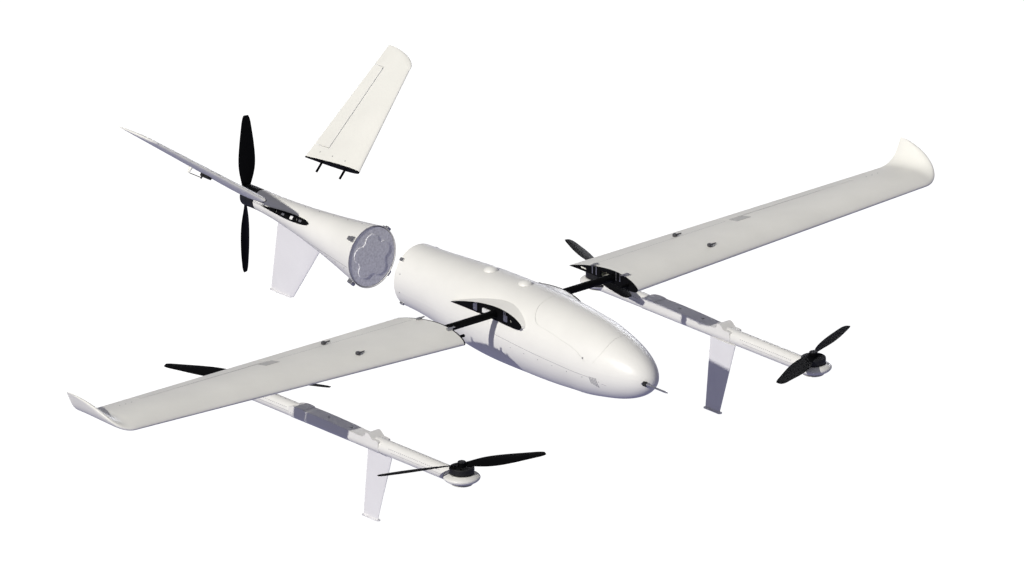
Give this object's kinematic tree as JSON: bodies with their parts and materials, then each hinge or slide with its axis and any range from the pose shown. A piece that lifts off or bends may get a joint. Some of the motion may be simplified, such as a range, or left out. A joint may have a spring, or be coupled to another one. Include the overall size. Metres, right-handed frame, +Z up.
{
  "type": "fixed wing drone",
  "caption": "Fixed wing drone with V-tail, lift rotors on booms and a pusher, in separate modules that slide together.",
  "frame": {"origin": "floor level under the middle of the model's bounding box, with the modules one joining travel apart", "axes": "+X towards the nose, +Y to the port wing, +Z up"},
  "size_m": [1.714, 2.8602, 0.728],
  "materials": {
    "shell_white": "painted composite shell, satin gloss, warm white",
    "pale_leg": "painted composite fin, satin",
    "boom_white": "painted composite tube, satin gloss",
    "wing_skin": "painted composite skin, satin, light warm grey",
    "carbon_black": "woven carbon laminate, matt",
    "propeller_black": "moulded carbon filled blade, semi matt",
    "motor_black": "anodised aluminium, black",
    "stator_metal": "laminated steel with copper windings",
    "latch_metal": "stamped steel latch",
    "lock_grey": "knurled aluminium knob",
    "bulkhead_grey": "painted aluminium plate, matt grey",
    "probe_metal": "polished steel tube",
    "connector_white": "moulded nylon connector",
    "servo_black": "moulded servo case",
    "deck_ply": "fibre laminate deck",
    "battery_wrap": "shrink wrapped cell pack",
    "avionics_case": "anodised avionics case"
  },
  "bodies": {
    "fuselage": {"fuselage_upper_shell": "shell_white", "fuselage_lower_shell": "shell_white", "pitot_probe": "probe_metal", "wing_spar_tube": "carbon_black", "stub_rib_port": "carbon_black", "stub_rib_starboard": "carbon_black", "latch_keepers": "latch_metal", "stub_connectors": "connector_white", "antenna_domes": "shell_white", "rear_bulkhead": "bulkhead_grey", "equipment_deck": "deck_ply", "flight_battery": "battery_wrap", "autopilot": "avionics_case"},
    "hatch": {"equipment_hatch": "shell_white"},
    "tail": {"tail_cone": "shell_white", "tail_bulkhead": "bulkhead_grey", "tail_stub_ribs": "carbon_black", "ventral_fin": "pale_leg", "tail_latches": "latch_metal", "pusher_stator": "stator_metal"},
    "pusher_rotor": {"pusher_bell": "motor_black", "pusher_propeller": "propeller_black"},
    "wing_port": {"wing_panel_port": "wing_skin", "winglet_port": "wing_skin", "wing_root_rib_port": "carbon_black", "wing_latches_port": "latch_metal", "aileron_servo_port": "servo_black"},
    "aileron_port": {"aileron_port": "wing_skin"},
    "lock_fore_port": {"boom_lock_fore_port": "lock_grey"},
    "lock_aft_port": {"boom_lock_aft_port": "lock_grey"},
    "boom_port": {"boom_beam_port": "boom_white", "landing_leg_port": "pale_leg", "lift_stators_port": "stator_metal"},
    "rotor_fore_port": {"lift_bell_fore_port": "motor_black", "lift_propeller_fore_port": "propeller_black"},
    "rotor_aft_port": {"lift_bell_aft_port": "motor_black", "lift_propeller_aft_port": "propeller_black"},
    "fin_port": {"fin_panel_port": "wing_skin", "fin_root_rib_port": "carbon_black", "fin_servo_port": "servo_black"},
    "ruddervator_port": {"ruddervator_port": "wing_skin"},
    "wing_starboard": {"wing_panel_starboard": "wing_skin", "winglet_starboard": "wing_skin", "wing_root_rib_starboard": "carbon_black", "wing_latches_starboard": "latch_metal", "aileron_servo_starboard": "servo_black"},
    "aileron_starboard": {"aileron_starboard": "wing_skin"},
    "lock_fore_starboard": {"boom_lock_fore_starboard": "lock_grey"},
    "lock_aft_starboard": {"boom_lock_aft_starboard": "lock_grey"},
    "boom_starboard": {"boom_beam_starboard": "boom_white", "landing_leg_starboard": "pale_leg", "lift_stators_starboard": "stator_metal"},
    "rotor_fore_starboard": {"lift_bell_fore_starboard": "motor_black", "lift_propeller_fore_starboard": "propeller_black"},
    "rotor_aft_starboard": {"lift_bell_aft_starboard": "motor_black", "lift_propeller_aft_starboard": "propeller_black"},
    "fin_starboard": {"fin_panel_starboard": "wing_skin", "fin_root_rib_starboard": "carbon_black", "fin_servo_starboard": "servo_black"},
    "ruddervator_starboard": {"ruddervator_starboard": "wing_skin"}
  },
  "joints": [
    {"name": "hatch_lift", "type": "slide", "parent": "fuselage", "child": "hatch", "axis": [0, 0, 1], "range_m": [0, 0.15]},
    {"name": "tail_slide", "type": "slide", "parent": "fuselage", "child": "tail", "axis": [1, 0, 0], "range_m": [0, 0.1805]},
    {"name": "pusher_spin", "type": "hinge", "parent": "tail", "child": "pusher_rotor", "pos_m": [-0.832, 0, 0.415], "axis": [1, 0, 0], "continuous": true},
    {"name": "wing_port_slide", "type": "slide", "parent": "fuselage", "child": "wing_port", "axis": [0, -1, 0], "range_m": [0, 0.181]},
    {"name": "aileron_port_hinge", "type": "hinge", "parent": "wing_port", "child": "aileron_port", "pos_m": [0.18193, 0.79, 0.43388], "axis": [-0.0052, -0.9999, -0.0125], "range_deg": [-25, 25]},
    {"name": "boom_port_slide", "type": "slide", "parent": "wing_port", "child": "boom_port", "axis": [0, 0, 1], "range_m": [0, 0.176]},
    {"name": "lock_fore_port_turn", "type": "hinge", "parent": "wing_port", "child": "lock_fore_port", "pos_m": [0.3179, 0.6025, 0.44277], "axis": [0, 0, 1], "range_deg": [0, 90]},
    {"name": "lock_aft_port_turn", "type": "hinge", "parent": "wing_port", "child": "lock_aft_port", "pos_m": [0.1821, 0.6025, 0.43185], "axis": [0, 0, 1], "range_deg": [0, 90]},
    {"name": "rotor_fore_port_spin", "type": "hinge", "parent": "boom_port", "child": "rotor_fore_port", "pos_m": [0.7236, 0.6025, 0.2593], "axis": [0, 0, 1], "continuous": true},
    {"name": "rotor_aft_port_spin", "type": "hinge", "parent": "boom_port", "child": "rotor_aft_port", "pos_m": [-0.1198, 0.6025, 0.2593], "axis": [0, 0, 1], "continuous": true},
    {"name": "fin_port_slide", "type": "slide", "parent": "tail", "child": "fin_port", "axis": [0.2243, -0.7921, -0.5678], "range_m": [0, 0.1426]},
    {"name": "ruddervator_port_hinge", "type": "hinge", "parent": "fin_port", "child": "ruddervator_port", "pos_m": [-0.71016, 0.18297, 0.53228], "axis": [0.1557, -0.8102, -0.565], "range_deg": [-25, 25]},
    {"name": "wing_starboard_slide", "type": "slide", "parent": "fuselage", "child": "wing_starboard", "axis": [0, 1, 0], "range_m": [0, 0.181]},
    {"name": "aileron_starboard_hinge", "type": "hinge", "parent": "wing_starboard", "child": "aileron_starboard", "pos_m": [0.18193, -0.79, 0.43388], "axis": [0.0052, -0.9999, 0.0125], "range_deg": [-25, 25]},
    {"name": "boom_starboard_slide", "type": "slide", "parent": "wing_starboard", "child": "boom_starboard", "axis": [0, 0, 1], "range_m": [0, 0.176]},
    {"name": "lock_fore_starboard_turn", "type": "hinge", "parent": "wing_starboard", "child": "lock_fore_starboard", "pos_m": [0.3179, -0.6025, 0.44277], "axis": [0, 0, 1], "range_deg": [0, 90]},
    {"name": "lock_aft_starboard_turn", "type": "hinge", "parent": "wing_starboard", "child": "lock_aft_starboard", "pos_m": [0.1821, -0.6025, 0.43185], "axis": [0, 0, 1], "range_deg": [0, 90]},
    {"name": "rotor_fore_starboard_spin", "type": "hinge", "parent": "boom_starboard", "child": "rotor_fore_starboard", "pos_m": [0.7236, -0.6025, 0.2593], "axis": [0, 0, 1], "continuous": true},
    {"name": "rotor_aft_starboard_spin", "type": "hinge", "parent": "boom_starboard", "child": "rotor_aft_starboard", "pos_m": [-0.1198, -0.6025, 0.2593], "axis": [0, 0, 1], "continuous": true},
    {"name": "fin_starboard_slide", "type": "slide", "parent": "tail", "child": "fin_starboard", "axis": [0.2243, 0.7921, -0.5678], "range_m": [0, 0.1426]},
    {"name": "ruddervator_starboard_hinge", "type": "hinge", "parent": "fin_starboard", "child": "ruddervator_starboard", "pos_m": [-0.71016, -0.18297, 0.53228], "axis": [-0.1557, -0.8102, 0.565], "range_deg": [-25, 25]}
  ]
}
